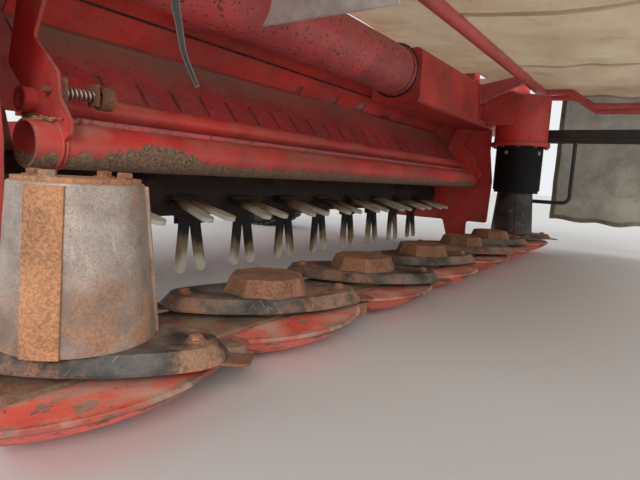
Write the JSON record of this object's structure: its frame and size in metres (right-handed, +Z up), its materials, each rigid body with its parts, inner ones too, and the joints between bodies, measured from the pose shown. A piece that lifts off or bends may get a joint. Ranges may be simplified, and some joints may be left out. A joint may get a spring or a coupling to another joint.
{
  "type": "trailed disc mower conditioner",
  "caption": "Trailed side-pull disc mower with a tined conditioner rotor, canvas canopy, swinging drawbar, jack and lifting wheels.",
  "frame": {"origin": "on the ground under the middle of the cutterbar, on the sole of the middle skid shoe", "axes": "+X across the machine to its inner, driven end, +Y to the rear, +Z up"},
  "size_m": [3.496, 5.035, 1.306],
  "materials": {
    "red_paint": "faded and worn",
    "worn_steel": "rusty",
    "blade_steel": "rusty",
    "rotor_steel": "worn black",
    "tine_nylon": "milky, dirty at the base",
    "black_paint": "satin",
    "black_plastic": "matte",
    "bright_steel": "polished",
    "canvas": "coated, dirty",
    "tyre_rubber": "matte",
    "rim_paint": "satin"
  },
  "bodies": {
    "frame": {"cutter_bar": "worn_steel", "skid_shoes": "red_paint", "side_plate_right": "red_paint", "side_plate_left": "red_paint", "main_beam": "red_paint", "front_tube": "red_paint", "hanger_plates": "red_paint", "comb_latch": "red_paint", "hood": "red_paint", "gear_housing": "red_paint", "pivot_lower": "black_paint", "drum_guard": "black_paint", "drive_cover": "red_paint", "rear_frame": "red_paint", "roof_canvas": "canvas", "canopy_frame": "red_paint", "inner_curtain": "canvas", "outer_roll": "canvas", "inner_guard": "black_paint"},
    "disc_unit_1": {"disc_1": "worn_steel", "blades_1": "blade_steel", "drum_1": "worn_steel"},
    "disc_unit_2": {"disc_2": "worn_steel", "blades_2": "blade_steel"},
    "disc_unit_3": {"disc_3": "worn_steel", "blades_3": "blade_steel"},
    "disc_unit_4": {"disc_4": "worn_steel", "blades_4": "blade_steel"},
    "disc_unit_5": {"disc_5": "worn_steel", "blades_5": "blade_steel"},
    "disc_unit_6": {"disc_6": "worn_steel", "blades_6": "blade_steel"},
    "disc_unit_7": {"disc_7": "worn_steel", "blades_7": "blade_steel", "drum_7": "worn_steel"},
    "rotor": {"rotor_tube": "rotor_steel", "tines": "tine_nylon"},
    "comb": {"comb_plate": "red_paint", "comb_pivot": "red_paint"},
    "axle": {"axle_frame": "red_paint"},
    "wheel_right": {"tyre_right": "tyre_rubber", "rim_right": "rim_paint"},
    "wheel_left": {"tyre_left": "tyre_rubber", "rim_left": "rim_paint"},
    "lift_barrel_pair": {"lift_barrels": "black_paint"},
    "lift_rod_pair": {"lift_rods": "bright_steel"},
    "drawbar_body": {"drawbar": "red_paint", "drawbar_tongue": "red_paint", "pivot_upper": "black_paint", "driveline_guard": "black_plastic", "jack_tube": "black_paint"},
    "input": {"input_shaft": "bright_steel"},
    "jack": {"jack_leg": "bright_steel"},
    "swing_barrel_body": {"swing_barrel": "black_paint"},
    "swing_rod_body": {"swing_rod": "bright_steel"},
    "front_guard": {"front_guard_frame": "red_paint", "front_guard_canvas": "canvas"},
    "door_left_body": {"door_left": "red_paint"},
    "door_right_body": {"door_right": "red_paint"}
  },
  "joints": [
    {"name": "disc_1_spin", "type": "hinge", "parent": "frame", "child": "disc_unit_1", "pos_m": [-1.29, 0, 0.087], "axis": [0, 0, 1], "continuous": true},
    {"name": "disc_2_spin", "type": "hinge", "parent": "frame", "child": "disc_unit_2", "pos_m": [-0.86, 0, 0.087], "axis": [0, 0, 1], "continuous": true},
    {"name": "disc_3_spin", "type": "hinge", "parent": "frame", "child": "disc_unit_3", "pos_m": [-0.43, 0, 0.087], "axis": [0, 0, 1], "continuous": true},
    {"name": "disc_4_spin", "type": "hinge", "parent": "frame", "child": "disc_unit_4", "pos_m": [0, 0, 0.087], "axis": [0, 0, 1], "continuous": true},
    {"name": "disc_5_spin", "type": "hinge", "parent": "frame", "child": "disc_unit_5", "pos_m": [0.43, 0, 0.087], "axis": [0, 0, 1], "continuous": true},
    {"name": "disc_6_spin", "type": "hinge", "parent": "frame", "child": "disc_unit_6", "pos_m": [0.86, 0, 0.087], "axis": [0, 0, 1], "continuous": true},
    {"name": "disc_7_spin", "type": "hinge", "parent": "frame", "child": "disc_unit_7", "pos_m": [1.29, 0, 0.087], "axis": [0, 0, 1], "continuous": true},
    {"name": "rotor_spin", "type": "hinge", "parent": "frame", "child": "rotor", "pos_m": [0, 0.55, 0.3], "axis": [1, 0, 0], "continuous": true},
    {"name": "comb_adjust", "type": "hinge", "parent": "frame", "child": "comb", "pos_m": [0, 0.315, 0.482], "axis": [1, 0, 0], "range_deg": [-8, 0]},
    {"name": "axle_lift", "type": "hinge", "parent": "frame", "child": "axle", "pos_m": [0, 1.25, 0.64], "axis": [1, 0, 0], "range_deg": [-30, 0]},
    {"name": "wheel_right_spin", "type": "hinge", "parent": "axle", "child": "wheel_right", "pos_m": [-1.12, 1.7, 0.38], "axis": [1, 0, 0], "continuous": true},
    {"name": "wheel_left_spin", "type": "hinge", "parent": "axle", "child": "wheel_left", "pos_m": [1.12, 1.7, 0.38], "axis": [1, 0, 0], "continuous": true},
    {"name": "lift_barrel_swing", "type": "hinge", "parent": "frame", "child": "lift_barrel_pair", "pos_m": [0.86, 0.64, 0.8], "axis": [1, 0, 0], "range_deg": [-0.7315, 0]},
    {"name": "lift_rod_slide", "type": "slide", "parent": "lift_barrel_pair", "child": "lift_rod_pair", "axis": [0, 0.9998, -0.0186], "range_m": [0, 0.07741]},
    {"name": "drawbar_swing", "type": "hinge", "parent": "frame", "child": "drawbar_body", "pos_m": [1.56, 0.15, 1.125], "axis": [0, 0, 1], "range_deg": [-28, 0]},
    {"name": "swing_barrel_turn", "type": "hinge", "parent": "frame", "child": "swing_barrel_body", "pos_m": [1.1, 0.25, 1.125], "axis": [0, 0, 1], "range_deg": [-11.44, 0]},
    {"name": "swing_rod_slide", "type": "slide", "parent": "swing_barrel_body", "child": "swing_rod_body", "axis": [0.5713, -0.8208, 0], "range_m": [-0.1727, 0]},
    {"name": "input_spin", "type": "hinge", "parent": "drawbar_body", "child": "input", "pos_m": [1.56, -2.64, 0.67], "axis": [0, 1, 0], "continuous": true},
    {"name": "jack_slide", "type": "slide", "parent": "drawbar_body", "child": "jack", "axis": [0, 0, 1], "range_m": [0, 0.3]},
    {"name": "front_guard_fold", "type": "hinge", "parent": "frame", "child": "front_guard", "pos_m": [0, -0.95, 0.905], "axis": [1, 0, 0], "range_deg": [0, 90]},
    {"name": "door_left_swing", "type": "hinge", "parent": "frame", "child": "door_left_body", "pos_m": [0.9, 0.985, 0.15], "axis": [0, 0, 1], "range_deg": [0, 30]},
    {"name": "door_right_swing", "type": "hinge", "parent": "frame", "child": "door_right_body", "pos_m": [-0.9, 0.985, 0.15], "axis": [0, 0, 1], "range_deg": [-30, 0]}
  ],
  "couplings": [
    {"joint": "disc_2_spin", "follows": "disc_1_spin", "ratio": -1},
    {"joint": "disc_3_spin", "follows": "disc_1_spin", "ratio": 1},
    {"joint": "disc_4_spin", "follows": "disc_1_spin", "ratio": -1},
    {"joint": "disc_5_spin", "follows": "disc_1_spin", "ratio": 1},
    {"joint": "disc_6_spin", "follows": "disc_1_spin", "ratio": -1},
    {"joint": "disc_7_spin", "follows": "disc_1_spin", "ratio": 1},
    {"joint": "rotor_spin", "follows": "disc_1_spin", "ratio": -0.3},
    {"joint": "lift_barrel_swing", "follows": "axle_lift", "ratio": 0.024383},
    {"joint": "lift_rod_slide", "follows": "axle_lift", "m_per_rad": -0.14783},
    {"joint": "swing_barrel_turn", "follows": "drawbar_swing", "ratio": 0.40864},
    {"joint": "swing_rod_slide", "follows": "drawbar_swing", "m_per_rad": 0.35339},
    {"joint": "input_spin", "follows": "disc_1_spin", "ratio": 0.18}
  ]
}
